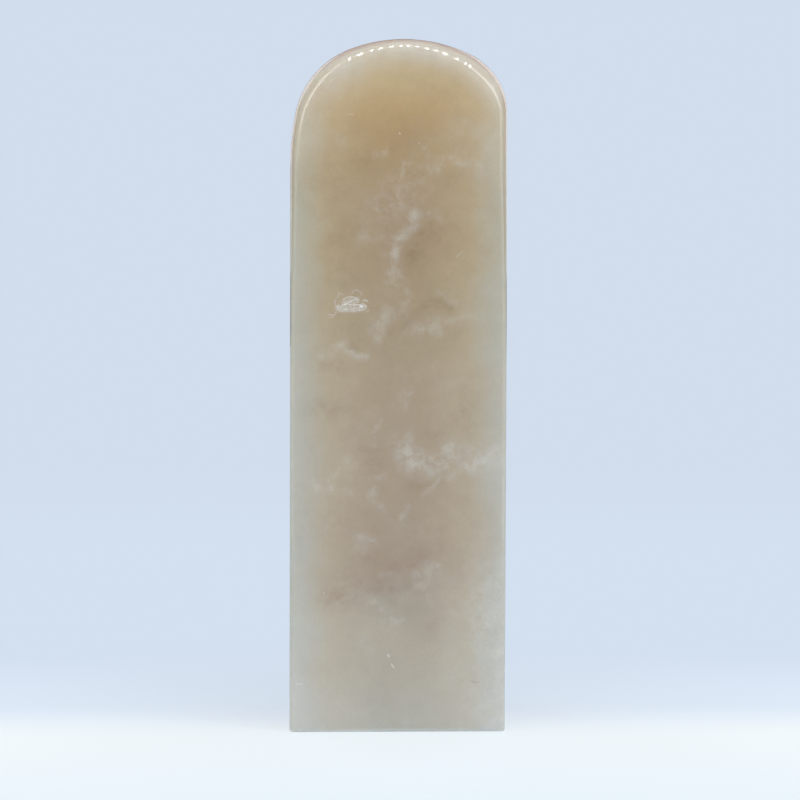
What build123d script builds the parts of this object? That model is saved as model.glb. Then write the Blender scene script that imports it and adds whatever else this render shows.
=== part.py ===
from build123d import *
from math import atan2, cos, degrees, radians, sin, sqrt
import os

# A seal stone: one block of soft carving stone with a square shaft and an arched head.
# The blank seal face lies on Z = 0 with its centre at the origin and +Z runs up to the crown.
# The front face looks along -Y, and +X is on the right of someone who faces it.
# Lengths are in millimetres and angles in degrees.

# Block
width = 25.0
depth = 25.0
height = 80.1

# Arch of the head, seen from the front: four arcs, each tangent to the next.
# It was rubbed to shape by hand, so the right shoulder is tighter than the left one.
crown_radius = 18.2
crown_offset = 0.7
right_shoulder_radius = 7.2
left_shoulder_radius = 10.0
left_flank_radius = 30.0
left_flank_turn = 11.0

# Rounding of the edges. The rim of the arch has the largest rounding, which runs a short way
# down the upright corners and then narrows to the small arris of the shaft.
rim_radius = 2.0
rim_skirt = 0.6
ease_length = 16.0
arris_radius = 0.5
seal_arris_radius = 0.25
ease_steps = 6

# Places that follow from the sizes above
half_turn = 180.0
right_side_x = width / 2
left_side_x = -right_side_x
crown_z = height - crown_radius


def shoulder_height(shoulder_x, shoulder_radius):
    """Height of a shoulder's centre, for a shoulder that meets the crown's arc smoothly."""
    reach = crown_radius - shoulder_radius
    return crown_z + sqrt(reach**2 - (shoulder_x - crown_offset) ** 2)


def joint_angle(shoulder_x, shoulder_z):
    """Direction, from the crown's centre, of the point where a shoulder meets the crown's arc."""
    return degrees(atan2(shoulder_z - crown_z, shoulder_x - crown_offset))


right_shoulder_x = right_side_x - right_shoulder_radius
right_shoulder_z = shoulder_height(right_shoulder_x, right_shoulder_radius)
right_joint_angle = joint_angle(right_shoulder_x, right_shoulder_z)

flank_step = left_flank_radius - left_shoulder_radius
flank_x = left_side_x + left_flank_radius
left_shoulder_x = flank_x - flank_step * cos(radians(left_flank_turn))
left_shoulder_z = shoulder_height(left_shoulder_x, left_shoulder_radius)
left_joint_angle = joint_angle(left_shoulder_x, left_shoulder_z)
flank_z = left_shoulder_z - flank_step * sin(radians(left_flank_turn))
flank_angle = half_turn - left_flank_turn

head_base = min(flank_z, right_shoulder_z) - rim_skirt
ease_base = head_base - ease_length


def corner_rounding(share):
    """Radius of the upright corners at a share of the way up the stretch where they widen."""
    return arris_radius + (rim_radius - arris_radius) * share**2


with BuildPart() as seal_stone:
    # Head: the arch carried through from front to back, with its rim rounded on both faces
    with BuildSketch(Plane.XZ.offset(-depth / 2)):
        with BuildLine():
            Line((left_side_x, head_base), (right_side_x, head_base))
            Line((right_side_x, head_base), (right_side_x, right_shoulder_z))
            CenterArc(
                (right_shoulder_x, right_shoulder_z),
                right_shoulder_radius,
                start_angle=0,
                arc_size=right_joint_angle,
            )
            CenterArc(
                (crown_offset, crown_z),
                crown_radius,
                start_angle=right_joint_angle,
                arc_size=left_joint_angle - right_joint_angle,
            )
            CenterArc(
                (left_shoulder_x, left_shoulder_z),
                left_shoulder_radius,
                start_angle=left_joint_angle,
                arc_size=flank_angle - left_joint_angle,
            )
            CenterArc(
                (flank_x, flank_z),
                left_flank_radius,
                start_angle=flank_angle,
                arc_size=left_flank_turn,
            )
            Line((left_side_x, flank_z), (left_side_x, head_base))
        make_face()
    extrude(amount=depth)
    broad_faces = seal_stone.faces().filter_by(Axis.Y)
    rim = [edge for face in broad_faces for group in face.edges().group_by(Axis.Z)[1:] for edge in group]
    fillet(rim, radius=rim_radius)

    # Shaft: square sections whose corners keep a small arris and widen below the head
    with BuildSketch(Plane.XY):
        RectangleRounded(width, depth, arris_radius)
    for step in range(ease_steps + 1):
        share = step / ease_steps
        with BuildSketch(Plane.XY.offset(ease_base + ease_length * share)):
            RectangleRounded(width, depth, corner_rounding(share))
    loft(ruled=True)

    # Seal face: ground flat on the bottom end, with its edges just broken
    fillet(seal_stone.faces().sort_by(Axis.Z)[0].edges(), radius=seal_arris_radius)

seal_stone.part.label = "seal_stone"

os.makedirs("parts", exist_ok=True)
export_step(seal_stone.part, "parts/seal_stone.step")
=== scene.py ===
"""Looks of a polished seal stone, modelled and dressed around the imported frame.

The stone stands on its seal face at the origin, with +Z up to the crown of its arched head and
its front face towards -Y. Sizes and places are millimetres where they are named, and MM turns
them into the metres that the objects are made in.
"""

import logging
import math
from dataclasses import dataclass, field
from enum import Enum

import bpy
from mathutils import Matrix, Vector, noise


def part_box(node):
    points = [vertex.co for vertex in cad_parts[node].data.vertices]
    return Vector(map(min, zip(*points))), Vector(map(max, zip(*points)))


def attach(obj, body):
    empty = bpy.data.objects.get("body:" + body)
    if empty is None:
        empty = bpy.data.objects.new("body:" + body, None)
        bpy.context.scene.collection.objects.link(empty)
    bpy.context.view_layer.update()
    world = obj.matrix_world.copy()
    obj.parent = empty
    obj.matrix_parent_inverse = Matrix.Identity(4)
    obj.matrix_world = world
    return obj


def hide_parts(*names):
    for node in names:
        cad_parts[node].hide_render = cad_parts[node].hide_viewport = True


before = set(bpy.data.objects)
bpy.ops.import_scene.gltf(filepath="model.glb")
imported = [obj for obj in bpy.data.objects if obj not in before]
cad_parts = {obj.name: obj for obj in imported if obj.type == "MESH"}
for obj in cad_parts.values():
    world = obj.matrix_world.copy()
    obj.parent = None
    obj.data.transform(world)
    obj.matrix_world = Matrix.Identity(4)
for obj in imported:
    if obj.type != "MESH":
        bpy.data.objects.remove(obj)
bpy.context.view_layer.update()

MM = 0.001
STONE_NODE = "seal_stone"
ONLY_BODY = "root"
PHOTO_SIDE_PX = 800.0
QUARTER_TURN = 90.0
FEWEST_FLATS = 2

# The curve between a colour on a screen and the light that it stands for.
SCREEN_WHITE = 255.0
SCREEN_DARK = 0.04045
SCREEN_DARK_SLOPE = 12.92
SCREEN_OFFSET = 0.055
SCREEN_GAMMA = 2.4

# Watts per square metre that make the face of a flat lamp look white.
WHITE_LAMP = 4.0
# Most noise keeps within a quarter of its middle, so this makes it fill its reach.
NOISE_GAIN = 4.0
# How far a mark on the front face shows from its middle, in widths of the mark.
FADE_WIDTHS = 2.4

log = logging.getLogger("seal_stamp")

Socket = bpy.types.NodeSocket
Value = Socket | float | tuple[float, ...]
Tone = tuple[float, float, float]
Colour = tuple[float, float, float, float]
ToneRow = tuple[tuple[float, Tone], ...]
Points = tuple[tuple[float, float], ...]
Marks = tuple[tuple[float, float, Points], ...]


class Sum(Enum):
    """Sums that a stone pattern is worked out with."""

    ADD = "ADD"
    SUBTRACT = "SUBTRACT"
    MULTIPLY = "MULTIPLY"
    MOST = "MAXIMUM"
    SOFT_LEAST = "SMOOTH_MIN"
    SIZE = "ABSOLUTE"


class Layering(Enum):
    """How a colour is laid over another one."""

    COVER = "MIX"
    TINT = "MULTIPLY"


class Side(Enum):
    """A side of the stone, as the sign of X."""

    LEFT = -1.0
    RIGHT = 1.0


def tone(red: float, green: float, blue: float) -> Colour:
    """Turn a colour as the eye sees it on a screen into the linear colour that shaders take.

    Args:
        red: Red part, from 0 to 255.
        green: Green part, from 0 to 255.
        blue: Blue part, from 0 to 255.

    Returns:
        The linear red, green and blue, and an alpha of 1.
    """
    linear = []
    for part in (red, green, blue):
        share = part / SCREEN_WHITE
        if share <= SCREEN_DARK:
            linear.append(share / SCREEN_DARK_SLOPE)
        else:
            linear.append(((share + SCREEN_OFFSET) / (1.0 + SCREEN_OFFSET)) ** SCREEN_GAMMA)
    return (*linear, 1.0)


def facing(direction: float) -> Vector:
    """Give the way that lies a direction from straight up, in degrees, positive to the right."""
    turn = math.radians(direction)
    return Vector((math.sin(turn), 0.0, math.cos(turn)))


def smooth_share(value: float, start: float, end: float) -> float:
    """Give how far a value has gone from start to end, eased at both ends.

    Args:
        value: The value to place.
        start: Where the share is 0.
        end: Where the share is 1.

    Returns:
        A share from 0 to 1.
    """
    share = min(max((value - start) / (end - start), 0.0), 1.0)
    return share * share * (3.0 - 2.0 * share)


def between(place: float, stops: Points) -> float:
    """Read a value off a row of (place, value) stops, eased from each stop to the next.

    Args:
        place: Where to read.
        stops: The stops, in rising order of place.

    Returns:
        The value at that place.
    """
    if place <= stops[0][0]:
        return stops[0][1]
    for (low_place, low_value), (high_place, high_value) in zip(stops, stops[1:]):
        if place <= high_place:
            share = smooth_share(place, low_place, high_place)
            return low_value + (high_value - low_value) * share
    return stops[-1][1]


@dataclass(frozen=True)
class Wander:
    """A smooth shift that changes from place to place, the same in each run."""

    layer: float
    size: float
    reach: float
    layer_gap: float = 31.7

    def shift(self, x: float, z: float) -> tuple[float, float]:
        """Give the shift at a place.

        Args:
            x: The place's x.
            z: The place's z.

        Returns:
            The shift in x and in z, each at most about the reach.
        """
        sideways = noise.noise(Vector((x / self.size, self.layer, z / self.size)))
        upwards = noise.noise(Vector((x / self.size, self.layer + self.layer_gap, z / self.size)))
        return self.reach * sideways, self.reach * upwards


@dataclass(frozen=True)
class Arc:
    """One round stretch of the arch. Directions are degrees from straight up, positive to the right."""

    centre_x: float
    centre_z: float
    radius: float
    first: float
    last: float

    def touch(self, direction: float) -> tuple[float, float]:
        """Give the point, as x and z, where the arc faces a direction."""
        turn = math.radians(direction)
        return self.centre_x + self.radius * math.sin(turn), self.centre_z + self.radius * math.cos(turn)

    def directions(self, spacing: float) -> list[float]:
        """List the directions of equal flats along the arc.

        Args:
            spacing: About how far apart the flats are, in millimetres.

        Returns:
            The directions, from the first to the last.
        """
        sweep = self.last - self.first
        count = max(FEWEST_FLATS, round(math.radians(sweep) * self.radius / spacing))
        return [self.first + sweep * (index + 0.5) / count for index in range(count)]


@dataclass
class ArchedHead:
    """Outline of the head, seen from the front: four arcs, each tangent to the next, in millimetres."""

    side_x: float
    crown_top: float
    crown_radius: float = 18.2
    crown_offset: float = 0.7
    right_shoulder_radius: float = 7.2
    left_shoulder_radius: float = 10.0
    left_flank_radius: float = 30.0
    left_flank_turn: float = 11.0

    @property
    def crown_z(self) -> float:
        """Height of the centre of the crown's arc."""
        return self.crown_top - self.crown_radius

    def _shoulder_z(self, shoulder_x: float, radius: float) -> float:
        """Height of a shoulder's centre, for a shoulder that meets the crown's arc smoothly."""
        reach = self.crown_radius - radius
        return self.crown_z + math.sqrt(reach**2 - (shoulder_x - self.crown_offset) ** 2)

    def arcs(self) -> tuple[Arc, Arc, Arc, Arc]:
        """Work out the four arcs.

        Returns:
            The left flank, left shoulder, crown and right shoulder, in that order.
        """
        turn = math.radians(self.left_flank_turn)
        step = self.left_flank_radius - self.left_shoulder_radius
        flank_x = -self.side_x + self.left_flank_radius
        left_x = flank_x - step * math.cos(turn)
        left_z = self._shoulder_z(left_x, self.left_shoulder_radius)
        flank_z = left_z - step * math.sin(turn)
        right_x = self.side_x - self.right_shoulder_radius
        right_z = self._shoulder_z(right_x, self.right_shoulder_radius)
        left_joint = math.degrees(math.atan2(left_x - self.crown_offset, left_z - self.crown_z))
        right_joint = math.degrees(math.atan2(right_x - self.crown_offset, right_z - self.crown_z))
        flank_end = self.left_flank_turn - QUARTER_TURN
        return (
            Arc(flank_x, flank_z, self.left_flank_radius, -QUARTER_TURN, flank_end),
            Arc(left_x, left_z, self.left_shoulder_radius, flank_end, left_joint),
            Arc(self.crown_offset, self.crown_z, self.crown_radius, left_joint, right_joint),
            Arc(right_x, right_z, self.right_shoulder_radius, right_joint, QUARTER_TURN),
        )


class Tint(Enum):
    """Tones that the grain of the stone draws in, each with the most that it covers; the pale one also
    lays a patch of painted light.
    """

    TAN = (150, 131, 104, 0.5)
    ROSE = (156, 133, 116, 0.5)
    PALE = (210, 211, 208, 0.34)

    @property
    def colour(self) -> Colour:
        """The tint's linear colour."""
        return tone(*self.value[:3])

    @property
    def cover(self) -> float:
        """How much of the stone's own colour the tint covers at its strongest."""
        return self.value[3]


@dataclass(frozen=True)
class Stroke:
    """One mark on the front face: a row of points in x and z, or one point for a spot.

    The mark fades away from its middle, ever more slowly, and ends at FADE_WIDTHS times its width.
    """

    width: float
    strength: float
    points: Points

    def near(self, x: float, z: float) -> float:
        """Give how strong the mark is at a place.

        Args:
            x: The place's x.
            z: The place's z.

        Returns:
            The strength there, from 0 up to the mark's own.
        """
        nearest = math.dist((x, z), self.points[0])
        for (first_x, first_z), (last_x, last_z) in zip(self.points, self.points[1:]):
            run_x, run_z = last_x - first_x, last_z - first_z
            along = ((x - first_x) * run_x + (z - first_z) * run_z) / (run_x**2 + run_z**2)
            along = min(max(along, 0.0), 1.0)
            gap = math.dist((x, z), (first_x + along * run_x, first_z + along * run_z))
            nearest = min(nearest, gap)
        return self.strength * max(1.0 - nearest / (FADE_WIDTHS * self.width), 0.0) ** 2

    def reach(self) -> tuple[float, float, float, float]:
        """Find the box that the mark fills.

        Returns:
            Its least x, greatest x, least z and greatest z.
        """
        across = [x for x, _ in self.points]
        up = [z for _, z in self.points]
        spread = FADE_WIDTHS * self.width
        return min(across) - spread, max(across) + spread, min(up) - spread, max(up) + spread


PALE_MARKS: Marks = (
    (1.5, 0.2, ((-7.5, 75.6), (-5.0, 77.0), (-2.0, 77.4))),
    (0.35, 0.6, ((-2.9, 66.3), (-2.4, 66.8), (-1.6, 67.0))),
    (0.4, 0.65, ((1.0, 65.6), (0.3, 64.4), (-0.9, 63.1))),
    (0.8, 0.5, ((2.9, 67.6),)),
    (0.5, 0.5, ((3.8, 65.2), (5.2, 66.0), (6.6, 66.4), (7.4, 65.8))),
    (1.6, 0.5, ((9.2, 66.0), (10.2, 67.4))),
    (1.0, 0.5, ((8.8, 69.0), (10.0, 69.8))),
    (1.2, 0.35, ((6.6, 70.2),)),
    (0.7, 0.4, ((-6.4, 68.4),)),
    (2.6, 0.45, ((-2.0, 60.6), (0.0, 62.2))),
    (0.8, 0.85, ((1.8, 59.7), (0.8, 58.2), (-0.3, 56.8), (-0.9, 55.4), (-0.9, 54.0), (-0.3, 52.4))),
    (0.45, 0.6, ((3.4, 59.8), (4.2, 60.2), (5.2, 59.4))),
    (1.0, 0.45, ((-3.8, 57.2), (-2.6, 57.6))),
    (0.7, 0.4, ((-8.2, 58.2),)),
    (0.35, 0.45, ((0.6, 51.8), (1.3, 50.6), (0.8, 49.6))),
    (0.9, 0.5, ((-2.8, 46.9), (-1.4, 47.9), (0.2, 48.8))),
    (0.4, 0.4, ((4.8, 50.8), (6.4, 49.6))),
    (1.1, 0.6, ((2.2, 46.8), (4.4, 46.9))),
    (0.9, 0.4, ((5.6, 47.4), (8.8, 48.0))),
    (0.5, 0.45, ((-2.7, 46.4), (-2.7, 45.6))),
    (0.45, 0.9, ((-9.2, 43.7), (-8.0, 44.0), (-6.6, 44.8))),
    (0.35, 0.8, ((-6.5, 44.9), (-6.1, 44.1), (-5.0, 43.5), (-3.9, 43.5))),
    (0.5, 0.4, ((0.9, 39.2), (0.9, 37.6))),
    (0.3, 0.6, ((-2.2, 35.6), (-2.9, 34.6), (-3.1, 33.4))),
    (1.4, 1.1, ((0.6, 32.9), (1.3, 31.8), (2.3, 30.9))),
    (0.9, 1.1, ((3.8, 31.2), (5.4, 31.6), (5.6, 32.6))),
    (0.8, 0.5, ((6.0, 33.2), (7.4, 32.9))),
    (1.7, 1.2, ((8.4, 31.4), (10.4, 32.0))),
    (0.6, 0.85, ((3.4, 29.9), (4.5, 30.1))),
    (0.5, 0.7, ((6.0, 29.9), (6.9, 29.7))),
    (0.3, 0.5, ((4.4, 29.4), (3.8, 28.4), (3.0, 27.6))),
    (0.4, 0.75, ((-7.1, 30.3), (-7.9, 29.4), (-7.5, 28.5))),
    (0.25, 0.5, ((-7.4, 29.5), (-6.6, 28.2), (-4.8, 27.5))),
    (0.6, 0.5, ((-6.4, 31.4), (-5.7, 30.9))),
    (0.7, 0.55, ((-9.0, 28.4), (-8.9, 27.2))),
    (0.5, 0.5, ((-3.4, 29.6), (-2.0, 29.8))),
    (0.5, 0.6, ((-2.9, 28.2), (-2.8, 27.2), (-1.9, 26.2))),
    (0.3, 0.6, ((1.1, 25.9), (0.4, 24.8))),
    (0.8, 0.6, ((-4.4, 22.3), (-3.2, 21.9))),
    (0.25, 0.6, ((-2.0, 18.3), (-1.0, 18.4), (0.2, 18.1))),
    (0.8, 0.6, ((2.0, 17.8), (3.2, 18.2), (4.8, 19.2))),
    (0.6, 0.5, ((-2.9, 15.1), (-2.0, 14.9))),
    (0.7, 0.95, ((-1.7, 13.8), (-1.1, 13.1), (-0.4, 12.7))),
    (0.35, 0.8, ((-3.3, 9.5), (-3.0, 9.2))),
    (0.4, 0.45, ((-4.4, 10.7), (-3.9, 10.4))),
    (0.5, 0.45, ((0.6, 1.4), (1.0, 1.0), (2.2, 1.0))),
    # Painted light: a broad pale patch along the lower right edge, where that side looks lit brighter.
    (4.5, 1.7, ((13.5, 0.0), (13.5, 15.0))),
)

TAN_MARKS: Marks = (
    (1.6, 0.25, ((3.4, 74.4), (5.0, 73.8))),
    (1.2, 0.2, ((6.6, 73.0), (6.2, 71.0))),
    (1.6, 0.45, ((8.4, 67.2),)),
    (1.5, 0.4, ((0.6, 68.3), (1.6, 67.9))),
    (1.2, 0.45, ((-4.6, 65.8), (-2.8, 65.4))),
    (1.4, 0.4, ((5.4, 63.6), (7.2, 64.4))),
    (1.8, 0.35, ((-8.0, 64.6), (-6.4, 62.4))),
    (1.8, 1.0, ((3.8, 58.2), (2.1, 57.4), (1.4, 54.8))),
    (1.6, 0.45, ((-6.2, 58.2), (-6.8, 56.2))),
    (1.6, 0.4, ((-6.4, 53.6), (-5.6, 52.8))),
    (0.7, 0.85, ((-0.9, 46.2), (0.4, 47.4), (2.2, 48.6), (3.6, 49.6), (4.9, 49.7), (5.9, 49.1))),
    (0.6, 0.45, ((5.2, 45.4), (6.8, 46.8))),
    (0.8, 0.75, ((-5.4, 44.3),)),
    (1.6, 0.35, ((-5.6, 46.4), (-4.2, 46.8))),
    (0.9, 0.5, ((-8.6, 42.9), (-7.0, 42.6))),
    (1.2, 0.35, ((-10.0, 37.8), (-8.0, 37.4), (-6.0, 36.8))),
    (2.0, 0.35, ((7.4, 37.6), (7.8, 35.4))),
    (0.6, 0.55, ((4.8, 34.4), (5.0, 33.6))),
    (0.45, 0.75, ((7.5, 32.6), (7.2, 31.4))),
    (0.8, 0.5, ((7.8, 29.8), (8.2, 29.2))),
    (0.7, 0.6, ((5.2, 29.5),)),
    (1.1, 1.0, ((1.9, 28.8), (2.3, 28.4))),
)

ROSE_MARKS: Marks = (
    (1.3, 0.55, ((-4.2, 32.6), (-2.4, 31.0))),
    (1.2, 0.6, ((-3.6, 24.2), (-2.0, 24.2))),
    (1.4, 0.35, ((-7.0, 24.2), (-5.6, 24.8))),
    (0.9, 0.7, ((-2.8, 20.1), (-1.9, 19.8))),
    (1.0, 0.75, ((-0.6, 18.8), (1.6, 19.1), (3.0, 20.6))),
    (0.5, 0.9, ((0.4, 17.0), (1.3, 17.1))),
    (1.7, 0.7, ((-7.2, 16.0), (-5.6, 16.6))),
    (0.7, 0.75, ((-5.6, 17.0), (-2.8, 17.0), (-0.4, 16.6))),
    (1.0, 0.45, ((5.2, 23.2), (5.4, 21.8))),
    (0.9, 0.4, ((7.4, 19.4), (7.5, 17.0))),
    (1.3, 0.4, ((4.6, 13.4), (4.0, 11.8))),
    (0.5, 0.4, ((-3.6, 3.8),)),
)

MARKS_OF: dict[Tint, Marks] = {
    Tint.TAN: TAN_MARKS,
    Tint.ROSE: ROSE_MARKS,
    Tint.PALE: PALE_MARKS,
}

FLECKS: Marks = (
    (0.22, 0.45, ((-1.12, 8.95), (-1.0, 8.8))),
    (0.15, 0.5, ((-0.72, 7.9), (-0.45, 7.5))),
    (0.13, 0.4, ((-11.7, 5.66), (-11.0, 5.62))),
    (0.14, 0.6, ((0.0, 69.15), (0.05, 69.1))),
    (0.12, 0.2, ((-5.8, 71.3), (-5.3, 71.25))),
    (0.12, 0.12, ((6.6, 55.0), (7.35, 55.65))),
    (0.12, 0.25, ((-8.6, 16.2), (-8.5, 16.2))),
    (0.12, 0.25, ((2.2, 68.0), (2.3, 68.0))),
)

DARK_FLECK: Marks = ((0.16, 0.25, ((8.6, 5.85), (9.4, 5.75))),)

SCRATCHES: Marks = (
    (
        0.07,
        0.8,
        ((-6.45, 50.0), (-6.2, 50.2), (-5.85, 50.33), (-5.3, 50.33), (-4.9, 50.2), (-4.6, 50.05)),
    ),
    (0.08, 1.0, ((-6.55, 49.35), (-6.1, 49.55), (-5.6, 49.78), (-5.15, 49.98), (-4.75, 50.1))),
    (0.07, 0.65, ((-5.2, 50.25), (-4.8, 50.1), (-4.65, 49.85), (-5.0, 49.7), (-5.5, 49.62))),
    (
        0.07,
        0.55,
        ((-7.25, 49.35), (-7.1, 48.95), (-6.7, 48.72), (-6.2, 48.7), (-5.6, 48.66), (-5.1, 48.72)),
    ),
    (
        0.08,
        0.95,
        ((-6.5, 49.42), (-6.0, 49.5), (-5.3, 49.42), (-4.6, 49.45), (-4.1, 49.35), (-3.75, 49.2)),
    ),
    (0.06, 0.55, ((-7.3, 50.0), (-7.42, 49.65), (-7.25, 49.25), (-6.9, 49.05))),
    (0.06, 0.5, ((-7.2, 48.6), (-7.5, 48.25), (-8.1, 48.3))),
    (0.06, 0.4, ((-7.5, 48.2), (-7.7, 47.95), (-8.0, 48.0))),
    (0.06, 0.35, ((-5.4, 50.7), (-5.3, 51.0), (-4.9, 51.15), (-4.5, 50.95), (-4.3, 50.6))),
    (0.06, 0.4, ((-7.1, 50.3), (-6.9, 50.75), (-6.4, 50.6))),
    (0.07, 0.75, ((-4.2, 49.6), (-3.8, 49.35), (-3.75, 49.0), (-4.1, 48.85), (-4.6, 48.8))),
    (0.08, 0.7, ((-4.1, 49.95), (-3.85, 50.0), (-3.65, 49.85))),
    (0.07, 0.75, ((-6.9, 49.35), (-6.5, 49.0), (-6.0, 48.85), (-5.4, 48.95), (-5.2, 49.2))),
    (0.06, 0.65, ((-5.9, 49.25), (-5.5, 48.85), (-5.0, 48.65), (-4.6, 48.9), (-4.5, 49.25))),
    (0.06, 0.6, ((-6.9, 49.1), (-6.4, 49.25), (-5.9, 49.05), (-5.3, 48.75))),
    (0.08, 0.7, ((-7.1, 49.0), (-6.8, 48.9), (-6.6, 49.15), (-6.3, 48.75), (-6.1, 49.2), (-5.8, 48.8))),
    (0.08, 0.7, ((-5.6, 49.25), (-5.3, 48.8), (-5.05, 49.25), (-4.8, 48.9), (-4.5, 49.3), (-4.2, 48.95))),
    (
        0.08,
        0.65,
        ((-6.95, 48.8), (-6.5, 48.72), (-6.2, 49.0), (-5.9, 48.7), (-5.5, 49.05), (-5.2, 48.75)),
    ),
    (0.3, 0.5, ((-7.0, 49.0), (-6.4, 48.95), (-5.7, 48.95), (-5.0, 48.95), (-4.2, 49.15))),
    (0.22, 0.45, ((-6.4, 49.7), (-5.6, 49.95), (-4.8, 50.05))),
    (0.12, 1.3, ((-6.25, 49.5), (-5.95, 49.6))),
    (0.12, 0.9, ((-7.1, 49.2), (-6.95, 49.18))),
    (0.16, 1.3, ((-4.45, 49.24), (-4.2, 49.22))),
    (0.1, 0.8, ((-5.25, 48.7), (-5.05, 48.68))),
    (0.06, 0.4, ((-3.7, 48.7), (-3.45, 48.85))),
)


@dataclass(frozen=True)
class Grain:
    """Noise of one kind: the size of its lumps, its detail, how rough that is and how much it does."""

    size: float
    detail: float = 2.0
    rough: float = 0.5
    reach: float = 1.0


@dataclass(frozen=True)
class Ease:
    """A soft step: a base that grows by a rise while what it reads goes from start to end."""

    start: float
    end: float
    rise: float = 1.0
    base: float = 0.0


@dataclass(frozen=True)
class StoneFinish:
    """Colours, pattern and gloss of the soft, translucent carving stone.

    The rows of tones go by height. What is named for the front goes by depth behind that face.
    """

    core_tones: ToneRow = (
        (0.0, (183, 180, 170)),
        (10.0, (182, 172, 157)),
        (15.0, (170, 159, 144)),
        (20.0, (166, 150, 131)),
        (30.0, (170, 153, 131)),
        (45.0, (171, 154, 129)),
        (60.0, (168, 148, 121)),
        (68.0, (173, 149, 112)),
        (73.0, (180, 151, 107)),
        (77.0, (190, 166, 118)),
        (80.0, (202, 196, 182)),
    )
    mid_tones: ToneRow = (
        (0.0, (195, 190, 179)),
        (10.0, (191, 182, 164)),
        (20.0, (183, 169, 149)),
        (45.0, (182, 168, 143)),
        (60.0, (181, 164, 134)),
        (68.0, (187, 168, 136)),
        (73.0, (193, 173, 138)),
        (77.0, (196, 177, 142)),
        (80.0, (203, 198, 185)),
    )
    # Painted light: the margins are paler as if side light shone through the stone near its edges.
    lit_margin_tones: ToneRow = (
        (0.0, (200, 201, 196)),
        (20.0, (187, 187, 179)),
        (45.0, (185, 184, 173)),
        (62.0, (183, 180, 164)),
        (70.0, (195, 189, 171)),
        (76.0, (203, 199, 188)),
    )
    # Painted light: a pale glow along the bottom edge, as if floor light shone through the stone there.
    base_glow_tone: Tone = (252, 247, 236)
    # The arch's pinkish skin: partly a skin colour, partly painted reflection of the dim room at the
    # rim's grazing edge.
    skin_and_reflection_tone: Tone = (191, 172, 166)
    fleck_tone: Tone = (232, 234, 236)
    dark_tone: Tone = (104, 92, 80)
    corner_blend: float = 3.0
    middle_depth: Ease = Ease(0.0, 5.0)
    core_depth: Ease = Ease(3.0, 11.5)
    skin_and_reflection_edge: Ease = Ease(-0.4, 1.0, rise=0.8)
    skin_and_reflection_height: Ease = Ease(50.0, 76.0)
    base_glow_height: Ease = Ease(0.45, 0.1, rise=0.6)
    depth_drift: Grain = Grain(5.0, reach=0.8)
    tone_drift: Grain = Grain(11.0, reach=1.6)
    skin_and_reflection_drift: Grain = Grain(9.0, reach=5.0)
    crinkle: Grain = Grain(1.1, detail=3.0, reach=1.4)
    flock: Grain = Grain(1.5, detail=6.0, rough=0.7)
    flock_share: Ease = Ease(0.36, 0.64, rise=0.85, base=0.15)
    mark_gain: float = 1.5
    swirl: Grain = Grain(6.0, detail=3.0, reach=9.0)
    cloud: Grain = Grain(7.0, detail=5.0, rough=0.55)
    pale_cloud: Ease = Ease(0.46, 0.78)
    dark_cloud: Ease = Ease(0.46, 0.78, rise=0.6)
    cloud_gap: tuple[float, float, float] = (31.0, 17.0, 0.0)
    cloud_front: Ease = Ease(1.5, 0.2, rise=-0.75, base=1.0)
    fleck_front: Ease = Ease(0.3, 0.1)
    mottle: Grain = Grain(1.3, detail=4.0, rough=0.6, reach=0.14)
    speckle: Grain = Grain(0.25, rough=0.6, reach=0.12)
    least_light: float = 0.87
    polish: Ease = Ease(0.35, 0.75, rise=0.02, base=0.05)
    haze: Grain = Grain(3.0, detail=3.0)
    ripple: Grain = Grain(1.5, detail=1.0, reach=0.004)
    # Whiteness of the scratches: partly their rough scuffed surface, partly painted glints where light
    # catches them.
    scratch_white_and_glint: float = 0.95
    scratch_roughness: float = 0.4
    refraction: float = 1.55
    translucency: float = 0.35
    scatter: tuple[float, float, float] = (3.2, 2.4, 1.6)


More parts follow.
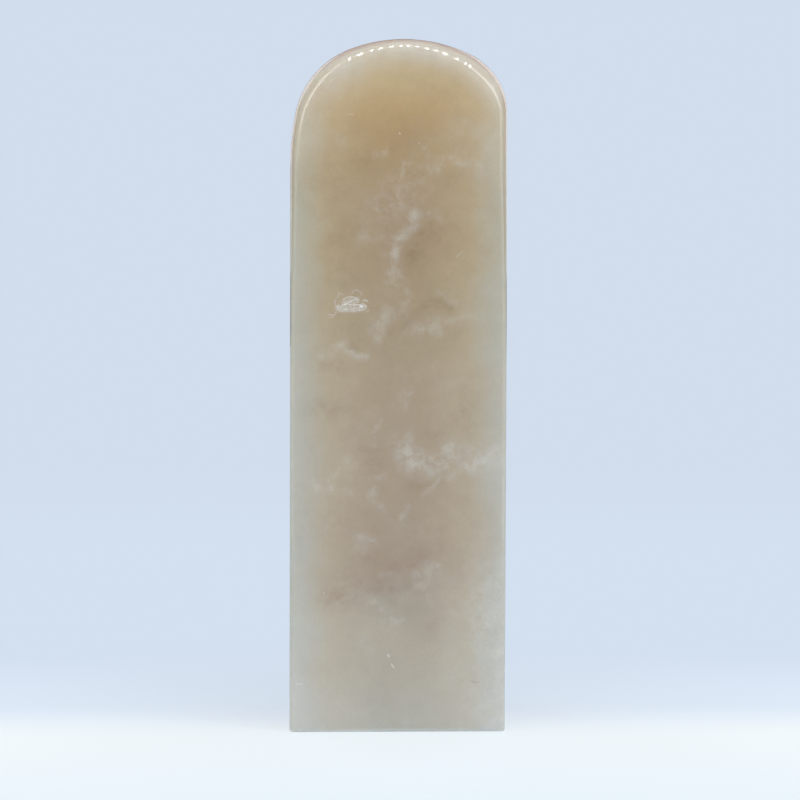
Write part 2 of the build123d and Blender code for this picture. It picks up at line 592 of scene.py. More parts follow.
class Shading:
    """Shader nodes of one material or world, added and joined one at a time."""

    def __init__(self, owner: bpy.types.Material | bpy.types.World) -> None:
        """Start a material or world with no nodes in it."""
        owner.use_nodes = True
        self.tree = owner.node_tree
        self.tree.nodes.clear()

    def add(self, kind: str, **settings: object) -> bpy.types.Node:
        """Add a node.

        Args:
            kind: The node's kind.
            settings: Its settings by name.

        Returns:
            The node.
        """
        node = self.tree.nodes.new(kind)
        for name, value in settings.items():
            setattr(node, name, value)
        return node

    def feed(self, socket: Socket, value: Value) -> None:
        """Join a value to a socket, or set the socket to it where it is a plain number or colour.

        Args:
            socket: The socket that takes the value.
            value: Another node's socket, a number or a colour.
        """
        if isinstance(value, Socket):
            self.tree.links.new(value, socket)
        else:
            socket.default_value = value

    def reckon(self, step: Sum, first: Value, second: Value = 0.0, third: Value = 0.0) -> Socket:
        """Add one sum on numbers.

        Args:
            step: The sum.
            first: Its first number.
            second: Its second number.
            third: Its third number, for a soft least: how far the rounding reaches.

        Returns:
            The result's socket.
        """
        node = self.add("ShaderNodeMath", operation=step.value)
        for socket, value in zip(node.inputs, (first, second, third)):
            self.feed(socket, value)
        return node.outputs[0]

    def scaled(self, place: Value, factor: Value) -> Socket:
        """Multiply a place or direction by a number.

        Args:
            place: The place or direction.
            factor: The number.

        Returns:
            The result's socket.
        """
        node = self.add("ShaderNodeVectorMath", operation="SCALE")
        self.feed(node.inputs[0], place)
        self.feed(node.inputs["Scale"], factor)
        return node.outputs["Vector"]

    def moved(self, place: Value, shift: Value) -> Socket:
        """Add a shift to a place.

        Args:
            place: The place.
            shift: The shift.

        Returns:
            The result's socket.
        """
        node = self.add("ShaderNodeVectorMath", operation="ADD")
        self.feed(node.inputs[0], place)
        self.feed(node.inputs[1], shift)
        return node.outputs["Vector"]

    def length(self, place: Value) -> Socket:
        """Measure how far a place is from zero.

        Args:
            place: The place.

        Returns:
            The distance's socket.
        """
        node = self.add("ShaderNodeVectorMath", operation="LENGTH")
        self.feed(node.inputs[0], place)
        return node.outputs["Value"]

    def share_along(self, place: Value, way: Vector) -> Socket:
        """Measure how far along a way a place lies.

        Args:
            place: The place, counted from where the way starts.
            way: The way.

        Returns:
            The share of the way, below 0 before its start and above 1 past its end.
        """
        node = self.add("ShaderNodeVectorMath", operation="DOT_PRODUCT")
        self.feed(node.inputs[0], place)
        self.feed(node.inputs[1], tuple(way / way.length_squared))
        return node.outputs["Value"]

    def split(self, place: Value) -> tuple[Socket, ...]:
        """Split a place into its x, y and z.

        Args:
            place: The place.

        Returns:
            The sockets of its x, y and z.
        """
        node = self.add("ShaderNodeSeparateXYZ")
        self.feed(node.inputs[0], place)
        return tuple(node.outputs)

    def join(self, x: Value, y: Value, z: Value) -> Socket:
        """Join three numbers into one vector.

        Args:
            x: Its x.
            y: Its y.
            z: Its z.

        Returns:
            The vector's socket.
        """
        node = self.add("ShaderNodeCombineXYZ")
        for socket, value in zip(node.inputs, (x, y, z)):
            self.feed(socket, value)
        return node.outputs[0]

    def clamped(self, value: Value) -> Socket:
        """Hold a value between 0 and 1.

        Args:
            value: The value.

        Returns:
            The held value's socket.
        """
        node = self.add("ShaderNodeClamp")
        self.feed(node.inputs["Value"], value)
        return node.outputs[0]

    def eased(self, value: Value, ease: Ease) -> Socket:
        """Read a soft step by a value.

        Args:
            value: The value to read it by.
            ease: The soft step.

        Returns:
            The result's socket.
        """
        node = self.add("ShaderNodeMapRange", interpolation_type="SMOOTHSTEP", clamp=True)
        self.feed(node.inputs["Value"], value)
        node.inputs["From Min"].default_value = ease.start
        node.inputs["From Max"].default_value = ease.end
        node.inputs["To Min"].default_value = ease.base
        node.inputs["To Max"].default_value = ease.base + ease.rise
        return node.outputs["Result"]

    def noise(self, place: Value, grain: Grain) -> bpy.types.Node:
        """Add noise.

        Args:
            place: The place to read it at.
            grain: The kind of noise.

        Returns:
            The noise's node.
        """
        node = self.add("ShaderNodeTexNoise")
        self.feed(node.inputs["Vector"], place)
        node.inputs["Scale"].default_value = 1.0 / grain.size
        node.inputs["Detail"].default_value = grain.detail
        node.inputs["Roughness"].default_value = grain.rough
        return node

    def amount(self, place: Value, grain: Grain) -> Socket:
        """Give noise as a number, times its reach."""
        return self.reckon(Sum.MULTIPLY, self.noise(place, grain).outputs["Fac"], grain.reach)

    def stirred(self, place: Value, grain: Grain) -> Socket:
        """Move a place by noise, as far as its reach."""
        return self.moved(place, self.scaled(self.noise(place, grain).outputs["Color"], grain.reach))

    def layer(self, how: Layering, share: Value, below: Value, above: Value) -> Socket:
        """Lay a colour over another one.

        Args:
            how: The way of layering.
            share: How much of it shows, from 0 to 1.
            below: The colour below.
            above: The colour above.

        Returns:
            The mixed colour's socket.
        """
        node = self.add("ShaderNodeMix", data_type="RGBA", blend_type=how.value)
        colours = [socket for socket in node.inputs if socket.type == "RGBA"]
        for socket, value in zip((node.inputs[0], *colours), (share, below, above)):
            self.feed(socket, value)
        return next(socket for socket in node.outputs if socket.type == "RGBA")

    def graded(self, value: Value, tones: ToneRow) -> Socket:
        """Read a colour off a row of tones, eased from each tone to the next.

        Args:
            value: The value to read it by.
            tones: The tones, in rising order of place.

        Returns:
            The colour's socket.
        """
        first, last = tones[0][0], tones[-1][0]
        share = self.add("ShaderNodeMapRange")
        self.feed(share.inputs["Value"], value)
        share.inputs["From Min"].default_value = first
        share.inputs["From Max"].default_value = last
        node = self.add("ShaderNodeValToRGB")
        node.color_ramp.interpolation = "EASE"
        points = node.color_ramp.elements
        while len(points) < len(tones):
            points.new(1.0)
        for point, (place, rgb) in zip(points, tones):
            point.position = (place - first) / (last - first)
            point.color = tone(*rgb)
        self.feed(node.inputs["Fac"], share.outputs["Result"])
        return node.outputs["Color"]

    def mixed(self, share: Value, first: bpy.types.Node, second: bpy.types.Node) -> bpy.types.Node:
        """Mix two shaders.

        Args:
            share: How much of the second shows, from 0 to 1.
            first: The first shader.
            second: The second shader.

        Returns:
            The mixed shader.
        """
        node = self.add("ShaderNodeMixShader")
        for socket, value in zip(node.inputs, (share, first.outputs[0], second.outputs[0])):
            self.feed(socket, value)
        return node

    def close(self, surface: bpy.types.Node, output: str = "ShaderNodeOutputMaterial") -> None:
        """Join the last shader to the output of the material or world."""
        self.tree.links.new(surface.outputs[0], self.add(output).inputs["Surface"])


@dataclass
class StonePainter:
    """Paints the stone: warm core, margins paled by painted light, the grain's marks, fine mottling and
    the hand polish.
    """

    finish: StoneFinish
    head: ArchedHead

    def __post_init__(self) -> None:
        """Start the material, and read what its pattern goes by."""
        self.material = bpy.data.materials.new("polished soft stone")
        self.shade = Shading(self.material)
        shade = self.shade
        coordinates = shade.add("ShaderNodeTexCoord")
        self.place = shade.scaled(coordinates.outputs["Object"], 1.0 / MM)
        self.x, self.y, self.z = shade.split(self.place)
        self.front_depth = shade.reckon(Sum.ADD, self.y, self.head.side_x)
        self.scuff = shade.add("ShaderNodeAttribute", attribute_name="scuff").outputs["Fac"]

    def paint(self) -> bpy.types.Material:
        """Build the whole material.

        Returns:
            The material.
        """
        finish, shade = self.finish, self.shade
        surface = shade.add("ShaderNodeBsdfPrincipled")
        colour = self._flecked(self._grained(self._figured(self._body())))
        shade.feed(surface.inputs["Base Color"], colour)
        shade.feed(surface.inputs["Roughness"], self._gloss())
        shade.feed(surface.inputs["Normal"], self._polish())
        surface.inputs["IOR"].default_value = finish.refraction
        surface.inputs["Subsurface Weight"].default_value = finish.translucency
        surface.inputs["Subsurface Radius"].default_value = finish.scatter
        surface.inputs["Subsurface Scale"].default_value = MM
        shade.close(surface)
        return self.material

    def _drifting(self, value: Value, drift: Grain) -> Socket:
        """Add a smooth noise to a value, within about its reach either way.

        Args:
            value: The value.
            drift: The noise.

        Returns:
            The drifting value's socket.
        """
        shade = self.shade
        centred = shade.reckon(Sum.SUBTRACT, shade.noise(self.place, drift).outputs["Fac"], 0.5)
        swing = shade.reckon(Sum.MULTIPLY, centred, NOISE_GAIN * drift.reach)
        return shade.reckon(Sum.ADD, value, swing)

    def _depths(self) -> tuple[Socket, Socket]:
        """Measure how deep a place lies in the stone.

        Returns:
            Its depth inside the arch's outline, and its depth behind the nearer of front and back.
        """
        shade, head = self.shade, self.head
        sideways = shade.reckon(Sum.SUBTRACT, head.side_x, shade.reckon(Sum.SIZE, self.x))
        across = shade.reckon(Sum.SUBTRACT, self.x, head.crown_offset)
        upwards = shade.reckon(Sum.MOST, shade.reckon(Sum.SUBTRACT, self.z, head.crown_z), 0.0)
        from_crown = shade.length(shade.join(across, 0.0, upwards))
        under_arch = shade.reckon(Sum.SUBTRACT, head.crown_radius, from_crown)
        inside = shade.reckon(Sum.SOFT_LEAST, sideways, under_arch, self.finish.corner_blend)
        inwards = shade.reckon(Sum.SUBTRACT, head.side_x, shade.reckon(Sum.SIZE, self.y))
        return inside, inwards

    def _body(self) -> Socket:
        """Colour the core and the tone around it, with painted light on margins and base, and painted
        reflection on the skin.

        Returns:
            The colour's socket.
        """
        shade, finish = self.shade, self.finish
        inside, inwards = self._depths()
        depth = self._drifting(shade.reckon(Sum.MOST, inside, inwards), finish.depth_drift)
        height = self._drifting(self.z, finish.tone_drift)
        skin_and_reflection_height = self._drifting(self.z, finish.skin_and_reflection_drift)
        lit_margin = shade.graded(height, finish.lit_margin_tones)
        middle = shade.graded(height, finish.mid_tones)
        core = shade.graded(height, finish.core_tones)
        # Painted light: pale margins stand in for light shining through the stone near its faces.
        colour = shade.layer(Layering.COVER, shade.eased(depth, finish.middle_depth), lit_margin, middle)
        colour = shade.layer(Layering.COVER, shade.eased(depth, finish.core_depth), colour, core)
        # Partly skin colour, partly painted reflection: the rim and top of the arch turn pinkish as if
        # mirroring the dim room.
        outwards = shade.eased(shade.reckon(Sum.SUBTRACT, inwards, inside), finish.skin_and_reflection_edge)
        skin_and_reflection = shade.reckon(Sum.MULTIPLY, outwards, shade.eased(skin_and_reflection_height, finish.skin_and_reflection_height))
        colour = shade.layer(Layering.COVER, skin_and_reflection, colour, tone(*finish.skin_and_reflection_tone))
        # Painted light: the bottom edge is lightened as a glow of floor light through the stone.
        worn = shade.eased(self.z, finish.base_glow_height)
        return shade.layer(Layering.COVER, worn, colour, tone(*finish.base_glow_tone))

    def _figured(self, body: Value) -> Socket:
        """Draw the marks of the grain over the body colour: the front face's own, and clouds elsewhere.

        Args:
            body: The body colour.

        Returns:
            The colour's socket.
        """
        shade, finish, place = self.shade, self.finish, self.place
        flocks = shade.noise(shade.stirred(place, finish.crinkle), finish.flock).outputs["Fac"]
        flocks = shade.eased(flocks, finish.flock_share)
        swirl = shade.stirred(place, finish.swirl)
        off_front = shade.eased(self.front_depth, finish.cloud_front)
        colour = body
        for index, tint in enumerate(Tint):
            marks = shade.add("ShaderNodeAttribute", attribute_name=tint.name.lower()).outputs["Fac"]
            unlike = shade.moved(swirl, tuple(index * gap for gap in finish.cloud_gap))
            cloud_share = finish.pale_cloud if tint is Tint.PALE else finish.dark_cloud
            cloud = shade.eased(shade.noise(unlike, finish.cloud).outputs["Fac"], cloud_share)
            marks = shade.reckon(Sum.ADD, marks, shade.reckon(Sum.MULTIPLY, cloud, off_front))
            share = shade.reckon(Sum.MULTIPLY, marks, flocks)
            share = shade.reckon(Sum.MULTIPLY, share, finish.mark_gain * tint.cover)
            colour = shade.layer(Layering.COVER, shade.clamped(share), colour, tint.colour)
        return colour

    def _fleck(self, width: float, strength: float, ends: Points) -> Socket:
        """Give the share that one short, straight fleck covers on the front face.

        Args:
            width: From the middle of the fleck to where it is gone.
            strength: The share at its middle.
            ends: Its two ends, as x and z.

        Returns:
            The share's socket.
        """
        shade = self.shade
        start, end = (Vector((x, 0.0, z)) for x, z in ends)
        way = end - start
        offset = shade.moved(shade.join(self.x, 0.0, self.z), tuple(-start))
        along = shade.clamped(shade.share_along(offset, way))
        gap = shade.moved(offset, shade.scaled(tuple(-way), along))
        share = shade.eased(shade.length(gap), Ease(width, 0.0, rise=strength))
        return shade.reckon(Sum.MULTIPLY, share, shade.eased(self.front_depth, self.finish.fleck_front))

    def _flecked(self, colour: Value) -> Socket:
        """Set the flecks and the whitened scratches, partly painted glints, on a colour.

        Args:
            colour: The colour.

        Returns:
            The new colour's socket.
        """
        shade, finish = self.shade, self.finish
        for flecks, fleck_tone in ((FLECKS, finish.fleck_tone), (DARK_FLECK, finish.dark_tone)):
            for fleck in flecks:
                colour = shade.layer(Layering.COVER, self._fleck(*fleck), colour, tone(*fleck_tone))
        # Whitened scratches: partly the rough scuffed surface, partly painted glints where light catches
        # the grooves.
        scuffed_white_and_glint = shade.reckon(Sum.MULTIPLY, self.scuff, finish.scratch_white_and_glint)
        return shade.layer(Layering.COVER, scuffed_white_and_glint, colour, tone(*finish.fleck_tone))

    def _grained(self, colour: Value) -> Socket:
        """Mottle a colour with the stone's own fine grain.

        Args:
            colour: The colour.

        Returns:
            The new colour's socket.
        """
        shade, finish = self.shade, self.finish
        mottle = shade.amount(self.place, finish.mottle)
        speckle = shade.amount(self.place, finish.speckle)
        light = shade.reckon(Sum.ADD, shade.reckon(Sum.ADD, mottle, speckle), finish.least_light)
        return shade.layer(Layering.TINT, 1.0, colour, shade.join(light, light, light))

    def _gloss(self) -> Socket:
        """Polish the stone highly, a little hazier in places, and leave the scratches dull.

        Returns:
            The roughness's socket.
        """
        shade, finish = self.shade, self.finish
        polish = shade.eased(shade.noise(self.place, finish.haze).outputs["Fac"], finish.polish)
        dull = shade.reckon(Sum.MULTIPLY, self.scuff, finish.scratch_roughness)
        return shade.reckon(Sum.ADD, polish, dull)

    def _polish(self) -> Socket:
        """Give the surface the slight waves that polishing by hand leaves.

        Returns:
            The normal's socket.
        """
        shade, ripple = self.shade, self.finish.ripple
        bump = shade.add("ShaderNodeBump")
        bump.inputs["Strength"].default_value = 1.0
        bump.inputs["Distance"].default_value = ripple.reach * MM
        shade.feed(bump.inputs["Height"], shade.noise(self.place, ripple).outputs["Fac"])
        return bump.outputs["Normal"]


@dataclass
class SealStone:
    """The stone: a square block with an arched head, rubbed edges and a polished face on each side."""

    finish: StoneFinish = field(default_factory=StoneFinish)
    flat_spacing: float = 0.3
    rim_steps: int = 12
    seal_arris: float = 0.38
    border: float = 4.0
    mark_spacing: float = 0.25
    mark_bends: tuple[Wander, Wander] = (
        Wander(layer=0.4, size=2.2, reach=0.7),
        Wander(layer=5.6, size=0.7, reach=0.3),
    )
    mark_fade: tuple[float, float] = (0.05, 0.5)
    patch_low: tuple[float, float] = (-8.6, 47.6)
    patch_high: tuple[float, float] = (-3.1, 51.5)
    patch_cuts: int = 90
    scratch_depth: float = 0.02
    scratch_bends: Wander = Wander(layer=10.3, size=0.3, reach=0.06)
    wear_size: float = 0.18
    wear_layer: float = 5.0
    wear_middle: float = 0.75
    wear_swing: float = 0.5
    front_slack: float = 0.01
    cut_slack: float = 1e-7
    # How much of a face's normal lies along one axis: on a front or back, a shaft's side and a true flat.
    square_on: float = 0.9
    upright: float = 0.9999
    flat: float = 0.999999
    corner_marks: tuple[float, float, float] = (44.0, 65.3, 1.5)
    corner_stops: Points = ((45.0, 0.4), (54.0, 0.8), (62.0, 1.05), (66.0, 1.35), (72.0, 1.6))
    rim_stops: Points = (
        (-90.0, 1.5),
        (-55.0, 2.4),
        (-22.0, 2.2),
        (-10.0, 1.8),
        (0.0, 1.62),
        (10.0, 1.85),
        (19.0, 2.3),
        (28.0, 2.7),
        (42.0, 3.1),
        (68.0, 2.2),
        (90.0, 1.6),
    )
    stone: bpy.types.Object | None = None

    def __post_init__(self) -> None:
        """Take the block's size and place from the frame."""
        self.low, self.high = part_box(STONE_NODE)
        self.head = ArchedHead(side_x=self.high.x / MM, crown_top=self.high.z / MM)

    def build(self) -> bpy.types.Object:
        """Model the stone.

        Returns:
            The finished stone, with its place in its mesh.
        """
        self._add_block()
        self._grind_arch()
        self._frame_faces()
        self._mark_corners()
        self._round_edges()
        self._grid_front()
        self._draw_marks()
        self._scratch()
        self._even_normals()
        return self.stone

    def _add_block(self) -> None:
        """Add the sawn block at its size and place."""
        bpy.ops.object.select_all(action="DESELECT")
        middle = (self.low + self.high) / 2
        bpy.ops.mesh.primitive_cube_add(size=1.0, location=middle, scale=self.high - self.low)
        self.stone = bpy.context.object
        self.stone.name = "polished_stone"
        self.stone.data.name = "polished_stone"
        bpy.ops.object.transform_apply(location=True, rotation=True, scale=True)

    def _cut(self, point: tuple[float, ...], normal: tuple[float, ...], grind: bool) -> None:
        """Cut the stone by a plane.

        Args:
            point: A point of the plane.
            normal: The direction that the plane faces.
            grind: Whether what lies beyond the plane is ground off.
        """
        bpy.ops.mesh.select_all(action="SELECT")
        bpy.ops.mesh.bisect(
            plane_co=Vector(point) * MM,
            plane_no=normal,
            use_fill=grind,
            clear_outer=grind,
            threshold=self.cut_slack,
        )

    def _grind_arch(self) -> None:
        """Grind the arched head, one narrow flat after another, from the left side to the right."""
        bpy.ops.object.mode_set(mode="EDIT")
        for arc in self.head.arcs():
            for direction in arc.directions(self.flat_spacing):
                x, z = arc.touch(direction)
                self._cut((x, 0.0, z), tuple(facing(direction)), grind=True)
        bpy.ops.object.mode_set(mode="OBJECT")

    def _frame_faces(self) -> None:
        """Frame the front and back faces by a border, which the rounding of the rim then follows."""
        bpy.ops.object.mode_set(mode="EDIT")
        bpy.ops.mesh.select_mode(type="FACE")
        bpy.ops.mesh.select_all(action="DESELECT")
        bpy.ops.object.mode_set(mode="OBJECT")
        for face in self.stone.data.polygons:
            face.select = abs(face.normal.y) > self.square_on
        bpy.ops.object.mode_set(mode="EDIT")
        bpy.ops.mesh.inset(thickness=self.border * MM, use_even_offset=True)
        bpy.ops.mesh.select_mode(type="VERT")
        bpy.ops.object.mode_set(mode="OBJECT")

    def _mark_corners(self) -> None:
        """Mark heights on the shaft, so that the rounding of its corners can change along them."""
        bpy.ops.object.mode_set(mode="EDIT")
        height, last, step = self.corner_marks
        while height <= last:
            self._cut((0.0, 0.0, height), (0.0, 0.0, 1.0), grind=False)
            height += step
        bpy.ops.object.mode_set(mode="OBJECT")

    def _edge_rounding(self, edge: bpy.types.MeshEdge, faces: list[bpy.types.MeshPolygon]) -> float:
        """Give the radius that an edge is rounded by.

        Args:
            edge: The edge.
            faces: The two faces that meet in it.

        Returns:
            The radius, or 0 for an edge inside a face.
        """
        first, second = (face.normal for face in faces)
        ends = [self.stone.data.vertices[index].co for index in edge.vertices]
        middle = (ends[0] + ends[1]) / 2 / MM
        if min(first.z, second.z) < -self.square_on:
            return self.seal_arris
        depthwise = (abs(first.y), abs(second.y))
        if max(depthwise) < self.square_on or min(depthwise) > self.square_on:
            return 0.0
        side = first if abs(first.y) < self.square_on else second
        if abs(side.x) > self.upright:
            return between(middle.z, self.corner_stops)
        return between(math.degrees(math.atan2(side.x, side.z)), self.rim_stops)

    def _round_edges(self) -> None:
        """Round the rim of the arch, the corners and the seal face's edges, each by its own radius."""
        mesh = self.stone.data
        faces_of: dict[tuple[int, int], list[bpy.types.MeshPolygon]] = {}
        for face in mesh.polygons:
            for key in face.edge_keys:
                faces_of.setdefault(key, []).append(face)
        widest = max(radius for _, radius in self.rim_stops)
        weights = mesh.attributes.new("bevel_weight_edge", "FLOAT", "EDGE")
        for edge in mesh.edges:
            radius = self._edge_rounding(edge, faces_of[edge.key])
            weights.data[edge.index].value = radius / widest
        rounding = self.stone.modifiers.new("rubbed edges", "BEVEL")
        rounding.limit_method = "WEIGHT"
        rounding.width = widest * MM
        rounding.segments = self.rim_steps
        rounding.use_clamp_overlap = False
        bpy.ops.object.modifier_apply(modifier=rounding.name)

    def _select_flats(self, front_only: bool) -> None:
        """Select the faces that lie flat in the stone's flat sides.

        Args:
            front_only: Whether only the front face counts.
        """
        bpy.ops.object.mode_set(mode="EDIT")
        bpy.ops.mesh.select_mode(type="FACE")
        bpy.ops.mesh.select_all(action="DESELECT")
        bpy.ops.object.mode_set(mode="OBJECT")
        for face in self.stone.data.polygons:
            largest = -face.normal.y if front_only else max(abs(part) for part in face.normal)
            face.select = largest > self.flat
        bpy.ops.object.mode_set(mode="EDIT")

    def _grid_front(self) -> None:
        """Divide the front face into small squares, finest where it is scratched, to carry its marks."""
        self._select_flats(front_only=True)
        bpy.ops.mesh.dissolve_faces()
        bpy.ops.mesh.hide(unselected=True)
        bpy.ops.mesh.select_mode(type="VERT")
        for x, z in (self.patch_low, self.patch_high):
            self._cut((x, 0.0, z), (1.0, 0.0, 0.0), grind=False)
            self._cut((x, 0.0, z), (0.0, 0.0, 1.0), grind=False)
        self._pick_patch()
        bpy.ops.mesh.subdivide(number_cuts=self.patch_cuts)
        bpy.ops.mesh.hide(unselected=False)
        for axis in (Vector((0.0, 0.0, 1.0)), Vector((1.0, 0.0, 0.0))):
            first = self.low.dot(axis) / MM
            length = (self.high - self.low).dot(axis) / MM
            count = round(length / self.mark_spacing)
            for index in range(1, count):
                place = axis * (first + length * index / count)
                self._cut(tuple(place), tuple(axis), grind=False)
        bpy.ops.mesh.reveal(select=False)
        bpy.ops.object.mode_set(mode="OBJECT")

    def _in_patch(self, x: float, z: float) -> bool:
        """Tell whether a place on the front face is in the scratched patch."""
        (low_x, low_z), (high_x, high_z) = self.patch_low, self.patch_high
        return low_x < x < high_x and low_z < z < high_z

    def _pick_patch(self) -> None:
        """Select the part of the front face that is scratched."""
        bpy.ops.mesh.select_mode(type="FACE")
        bpy.ops.mesh.select_all(action="DESELECT")
        bpy.ops.object.mode_set(mode="OBJECT")
        for face in self.stone.data.polygons:
            x, _, z = face.center / MM
            face.select = not face.hide and self._in_patch(x, z)
        bpy.ops.object.mode_set(mode="EDIT")

    def _scratch(self) -> None:
        """Scratch the patch: shallow grooves, with how scratched each point is kept for the paint."""
        mesh = self.stone.data
        front = self.low.y / MM
        strokes = [Stroke(*mark) for mark in SCRATCHES]
        values = [0.0] * len(mesh.vertices)
        grooves = self.stone.vertex_groups.new(name="grooves")
        for vertex in mesh.vertices:
            x, y, z = vertex.co / MM
            if y < front + self.front_slack and self._in_patch(x, z):
                stray_x, stray_z = self.scratch_bends.shift(x, z)
                deepest = max(stroke.near(x + stray_x, z + stray_z) for stroke in strokes)
                wear = noise.noise(Vector((x, self.wear_layer, z)) / self.wear_size)
                worn = deepest * (self.wear_middle + self.wear_swing * wear)
                values[vertex.index] = min(max(worn, 0.0), 1.0)
                grooves.add([vertex.index], values[vertex.index], "REPLACE")
        mesh.attributes.new("scuff", "FLOAT", "POINT").data.foreach_set("value", values)
        press = self.stone.modifiers.new("scratches", "DISPLACE")
        press.vertex_group = grooves.name
        press.direction = "Y"
        press.mid_level = 0.0
        press.strength = self.scratch_depth * MM
        bpy.ops.object.modifier_apply(modifier=press.name)

    def _draw_marks(self) -> None:
        """Write how strong each tint of the grain's marks is at each point of the front face."""
        mesh = self.stone.data
        full, gone = (self.low.y / MM + depth for depth in self.mark_fade)
        places = []
        for vertex in mesh.vertices:
            x, y, z = vertex.co / MM
            if y < gone:
                (wide_x, wide_z), (stray_x, stray_z) = (bends.shift(x, z) for bends in self.mark_bends)
                fade = 1.0 - smooth_share(y, full, gone)
                places.append((vertex.index, x + wide_x + stray_x, z + wide_z + stray_z, fade))
        for tint, marks in MARKS_OF.items():
            values = [0.0] * len(mesh.vertices)
            for stroke in (Stroke(*mark) for mark in marks):
                least_x, greatest_x, least_z, greatest_z = stroke.reach()
                for index, x, z, fade in places:
                    if least_x < x < greatest_x and least_z < z < greatest_z:
                        values[index] = max(values[index], fade * stroke.near(x, z))
            layer = mesh.attributes.new(tint.name.lower(), "FLOAT", "POINT")
            layer.data.foreach_set("value", values)

    def _even_normals(self) -> None:
        """Shade the stone smooth, with its flat sides truly flat right up to their rounded edges."""
        self._select_flats(front_only=False)
        bpy.ops.mesh.mod_weighted_strength(set=True, face_strength="STRONG")
        bpy.ops.object.mode_set(mode="OBJECT")
        bpy.ops.object.shade_smooth()
        flats = self.stone.modifiers.new("flat sides", "WEIGHTED_NORMAL")
        flats.mode = "FACE_AREA"
        flats.use_face_influence = True
        bpy.ops.object.modifier_apply(modifier=flats.name)

    def dress(self) -> None:
        """Give the stone its polished, cloudy material."""
        self.stone.data.materials.clear()
        self.stone.data.materials.append(StonePainter(self.finish, self.head).paint())

    def seat(self) -> None:
        """Let the modelled stone stand for the frame's stone, and ride with it."""
        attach(self.stone, ONLY_BODY)
        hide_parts(STONE_NODE)


@dataclass(frozen=True)
class FlatLamp:
    """A flat lamp that faces a target, with its width square to that way. A glow of 1 looks white."""

    name: str
    place: Vector
    target: Vector
    across: Vector
    width: float
    length: float
    glow: float

    def hang(self) -> None:
        """Add the lamp to the scene."""
        data = bpy.data.lights.new(self.name, "AREA")
        data.shape = "RECTANGLE"
        data.size = self.width * MM
        data.size_y = self.length * MM
        data.energy = self.glow * WHITE_LAMP * data.size * data.size_y
        lamp = bpy.data.objects.new(self.name, data)
        bpy.context.scene.collection.objects.link(lamp)
        back = (self.place - self.target).normalized()
        turned = Matrix((self.across, back.cross(self.across), back)).transposed().to_4x4()
        lamp.matrix_world = Matrix.Translation(self.place * MM) @ turned


@dataclass(frozen=True)
class Strip:
    """A soft lamp that stands on each side of the stone. Its turn and lift are degrees."""

    name: str
    turn: float
    lift: float
    width: float
    length: float
    aim: float
    glow: float


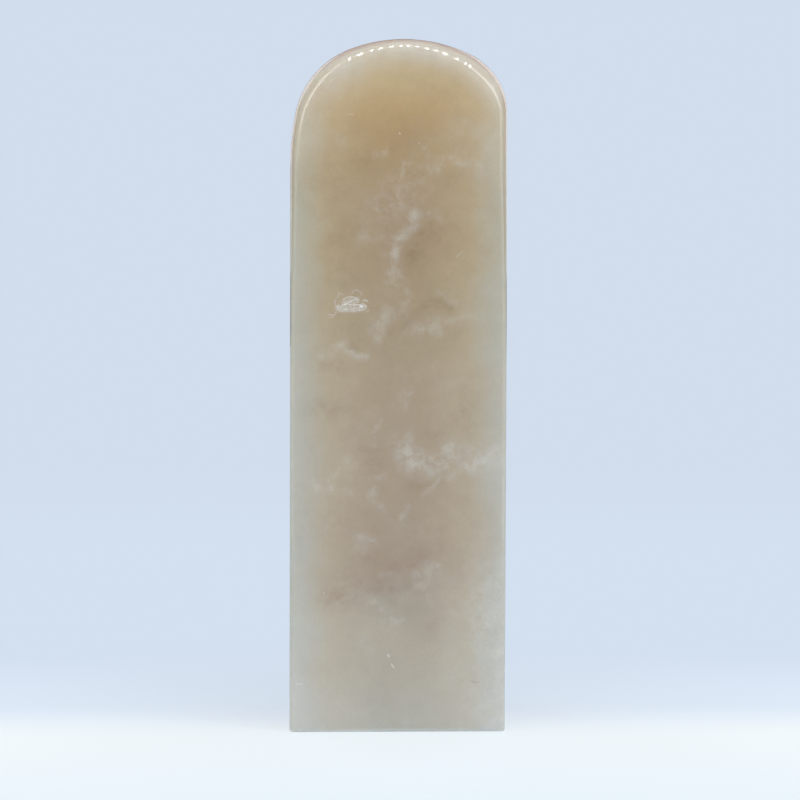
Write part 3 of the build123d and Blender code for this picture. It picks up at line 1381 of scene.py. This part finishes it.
@dataclass
class Studio:
    """Pale floor, soft lamps and the camera. Its turns, lifts, dips and rolls are degrees."""

    head: ArchedHead
    floor_radius: float = 3000.0
    floor_sides: int = 96
    paper_tone: Tone = (229, 243, 255)
    paper_roughness: float = 0.8
    plain_share: Ease = Ease(15.0, 80.0, rise=0.32, base=0.68)
    # Painted light and shade on the floor: brightest just before the stone, a bluish painted shadow
    # behind it.
    floor_light_and_shade_tones: ToneRow = (
        (-120.0, (232, 243, 251)),
        (-60.0, (235, 245, 252)),
        (-16.0, (245, 252, 255)),
        (10.0, (223, 234, 250)),
        (60.0, (211, 224, 240)),
        (200.0, (211, 224, 240)),
        (500.0, (209, 221, 236)),
    )
    far_share: Ease = Ease(250.0, 1000.0)
    backdrop_tone: Tone = (209, 221, 236)
    room_colour: Colour = (1.0, 0.94, 0.89, 1.0)
    room_light: Ease = Ease(-0.6, 0.6, rise=-0.19, base=0.33)
    tube_count: int = 14
    first_tube: float = -22.8
    tube_step: float = 4.6
    tube_width: float = 6.5
    tube_length: float = 74.0
    tube_glow: float = 13.0
    rig_distance: float = 257.0
    rig_lift: float = 60.0
    shoulder_lamps: tuple[tuple[Side, float, float], ...] = (
        (Side.LEFT, 50.2, 188.0),
        (Side.RIGHT, 54.0, 160.0),
    )
    shoulder_length: float = 52.0
    shoulder_glow: float = 1.85
    strips: tuple[Strip, ...] = (
        Strip("front", turn=57.0, lift=0.0, width=110.0, length=300.0, aim=150.0, glow=1.35),
        Strip("back", turn=138.0, lift=25.0, width=170.0, length=200.0, aim=40.0, glow=1.1),
    )
    film_width: float = 36.0
    sight_limits: tuple[float, float] = (10.0, 20000.0)
    lens_px: float = 2600.0
    camera_turn: float = 2.48
    camera_dip: float = 2.01
    camera_roll: float = 0.205
    camera_height: float = 49.0
    camera_distance: float = 299.586
    camera_side: float = 0.1594

    def build_floor(self) -> bpy.types.Object:
        """Lay a round floor of pale paper.

        Returns:
            The floor.
        """
        bpy.ops.object.select_all(action="DESELECT")
        bpy.ops.mesh.primitive_circle_add(
            vertices=self.floor_sides, radius=self.floor_radius * MM, fill_type="NGON"
        )
        floor = bpy.context.object
        floor.name = "floor"
        floor.data.materials.append(self._paper())
        return floor

    def _paper(self) -> bpy.types.Material:
        """Make the floor's paper: its real shadow, painted light and shade by the stone, fading into the
        backdrop.

        Returns:
            The material.
        """
        material = bpy.data.materials.new("pale paper floor")
        shade = Shading(material)
        place = shade.scaled(shade.add("ShaderNodeTexCoord").outputs["Object"], 1.0 / MM)
        distance = shade.length(place)
        paper = shade.add("ShaderNodeBsdfPrincipled")
        paper.inputs["Base Color"].default_value = tone(*self.paper_tone)
        paper.inputs["Roughness"].default_value = self.paper_roughness
        # Painted light and shade: the seen floor is lighter in front of the stone and darker behind it.
        painted_floor_light = shade.graded(shade.split(place)[1], self.floor_light_and_shade_tones)
        far_share = shade.eased(distance, self.far_share)
        plain = shade.add("ShaderNodeEmission")
        painted_floor_tone = shade.layer(Layering.COVER, far_share, painted_floor_light, tone(*self.backdrop_tone))
        shade.feed(plain.inputs["Color"], painted_floor_tone)
        path = shade.add("ShaderNodeLightPath")
        seen = shade.reckon(Sum.MOST, path.outputs["Is Camera Ray"], path.outputs["Is Glossy Ray"])
        share = shade.reckon(Sum.MULTIPLY, shade.eased(distance, self.plain_share), seen)
        shade.close(shade.mixed(share, paper, plain))
        return material

    def build_world(self) -> None:
        """Light the room softly, brighter before the stone than behind it, with a pale backdrop."""
        world = bpy.data.worlds.new("soft room")
        bpy.context.scene.world = world
        shade = Shading(world)
        way = shade.split(shade.add("ShaderNodeTexCoord").outputs["Generated"])
        room = shade.add("ShaderNodeBackground")
        room.inputs["Color"].default_value = self.room_colour
        shade.feed(room.inputs["Strength"], shade.eased(way[1], self.room_light))
        backdrop = shade.add("ShaderNodeBackground")
        backdrop.inputs["Color"].default_value = tone(*self.backdrop_tone)
        backdrop.inputs["Strength"].default_value = 1.0
        seen = shade.add("ShaderNodeLightPath").outputs["Is Camera Ray"]
        shade.close(shade.mixed(seen, room, backdrop), "ShaderNodeOutputWorld")

    def build_lamps(self) -> int:
        """Set up a fan of tubes around the head's arch, and soft lamps on each side.

        Returns:
            How many lamps there are.
        """
        crown = Vector((self.head.crown_offset, -self.head.side_x, self.head.crown_z))
        for index in range(self.tube_count):
            turn = self.first_tube + index * self.tube_step
            rim = crown + facing(turn) * self.head.crown_radius
            size = (self.tube_width, self.tube_length)
            self._over_rim(f"tube {index}", rim, turn, size, self.tube_glow).hang()
        for side, turn, width in self.shoulder_lamps:
            rim = Vector((side.value * self.head.side_x / 2, -self.head.side_x, self.head.crown_z))
            name = f"{side.name.lower()} shoulder lamp"
            size = (width, self.shoulder_length)
            self._over_rim(name, rim, side.value * turn, size, self.shoulder_glow).hang()
            for strip in self.strips:
                self._beside(side, strip).hang()
        return len(bpy.data.lights)

    def _over_rim(
        self, name: str, rim: Vector, direction: float, size: tuple[float, float], glow: float
    ) -> FlatLamp:
        """Place a lamp above the camera so that the rounded rim mirrors it.

        Args:
            name: The lamp's name.
            rim: The place on the rim that it faces.
            direction: Where the rim faces there, in degrees from straight up, positive to the right.
            size: The lamp's width and length.
            glow: How bright it looks.

        Returns:
            The lamp.
        """
        lift = math.radians(self.rig_lift)
        outwards = facing(direction) * math.sin(lift)
        forwards = Vector((0.0, -math.cos(lift), 0.0))
        place = rim + (outwards + forwards) * self.rig_distance
        return FlatLamp(name, place, rim, facing(direction + QUARTER_TURN), *size, glow)

    def _beside(self, side: Side, strip: Strip) -> FlatLamp:
        """Place a strip lamp on one side of the stone.

        Args:
            side: The side.
            strip: The strip.

        Returns:
            The lamp.
        """
        turn, lift = math.radians(strip.turn), math.radians(strip.lift)
        away = Vector((side.value * math.sin(turn), -math.cos(turn), math.tan(lift))).normalized()
        across = Vector((math.cos(turn), side.value * math.sin(turn), 0.0))
        target = Vector((0.0, 0.0, strip.aim))
        place = target + away * self.rig_distance
        name = f"{side.name.lower()} {strip.name} strip"
        return FlatLamp(name, place, target, across, strip.width, strip.length, strip.glow)

    def build_camera(self) -> None:
        """Stand the camera where the photograph was taken from."""
        turn, dip, roll = (math.radians(a) for a in (self.camera_turn, self.camera_dip, self.camera_roll))
        level = Vector((math.cos(turn), -math.sin(turn), 0.0))
        forwards = Vector((math.sin(turn), math.cos(turn), 0.0))
        front = Vector((0.0, -self.head.side_x, self.camera_height))
        place = front - forwards * self.camera_distance + level * self.camera_side
        ahead = forwards * math.cos(dip) - Vector((0.0, 0.0, math.sin(dip)))
        upright = level.cross(ahead)
        right = level * math.cos(roll) + upright * math.sin(roll)
        up = upright * math.cos(roll) - level * math.sin(roll)
        data = bpy.data.cameras.new("camera")
        data.sensor_width = self.film_width
        data.lens = self.lens_px / PHOTO_SIDE_PX * self.film_width
        data.clip_start, data.clip_end = (limit * MM for limit in self.sight_limits)
        camera = bpy.data.objects.new("camera", data)
        bpy.context.scene.collection.objects.link(camera)
        turned = Matrix((right, up, -ahead)).transposed().to_4x4()
        camera.matrix_world = Matrix.Translation(place * MM) @ turned
        bpy.context.scene.camera = camera


def main() -> None:
    """Build the stone and the studio in order, and report each piece."""
    logging.basicConfig(level=logging.INFO, format="%(name)s: %(message)s")
    bpy.context.scene.view_settings.view_transform = "Standard"
    stone = SealStone()
    piece = stone.build()
    stone.dress()
    stone.seat()
    log.info("%s: %d faces", piece.name, len(piece.data.polygons))
    studio = Studio(stone.head)
    log.info("%s laid", studio.build_floor().name)
    studio.build_world()
    log.info("%d lamps hung", studio.build_lamps())
    studio.build_camera()


if __name__ == "__main__":
    main()
